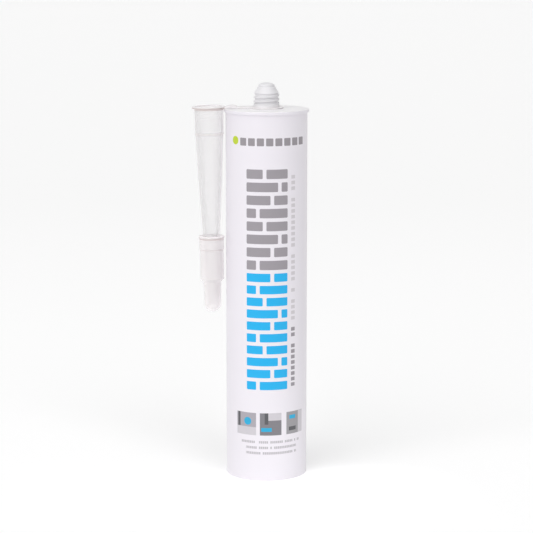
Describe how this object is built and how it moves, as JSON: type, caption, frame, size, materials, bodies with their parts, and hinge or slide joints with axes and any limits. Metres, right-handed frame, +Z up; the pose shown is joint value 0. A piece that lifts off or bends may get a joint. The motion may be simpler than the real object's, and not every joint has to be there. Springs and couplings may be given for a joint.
{
  "type": "caulk tube",
  "caption": "Sealant cartridge with a threaded, closed neck, an inner plunger and paste, and a capped nozzle hanging from a ring round the neck.",
  "frame": {"origin": "centre of the open base, where the plunger bore begins", "axes": "+Z up along the barrel's axis towards the neck, -X towards the hanging nozzle, -Y towards the printed front"},
  "size_m": [0.0703, 0.051, 0.2389],
  "materials": {
    "barrel": "white polyethylene, satin gloss, printed",
    "plunger": "natural polyethylene",
    "sealant": "soft paste",
    "nozzle": "translucent natural polyethylene",
    "nozzle_cap": "translucent natural polyethylene"
  },
  "bodies": {
    "cartridge": {"cartridge": "barrel", "sealant": "sealant"},
    "plunger": {"plunger": "plunger"},
    "nozzle": {"nozzle": "nozzle"},
    "nozzle_cap": {"nozzle_cap": "nozzle_cap"}
  },
  "joints": [
    {"name": "plunger_slide", "type": "slide", "parent": "cartridge", "child": "plunger", "axis": [0, 0, 1], "range_m": [0, 0.184], "deforming": ["sealant"]},
    {"name": "nozzle_swing", "type": "hinge", "parent": "cartridge", "child": "nozzle", "pos_m": [0, 0, 0.2235], "axis": [0, 0, 1], "continuous": true},
    {"name": "cap_pull", "type": "slide", "parent": "nozzle", "child": "nozzle_cap", "axis": [0.0157, 0, -0.9999], "range_m": [0, 0.05]}
  ]
}
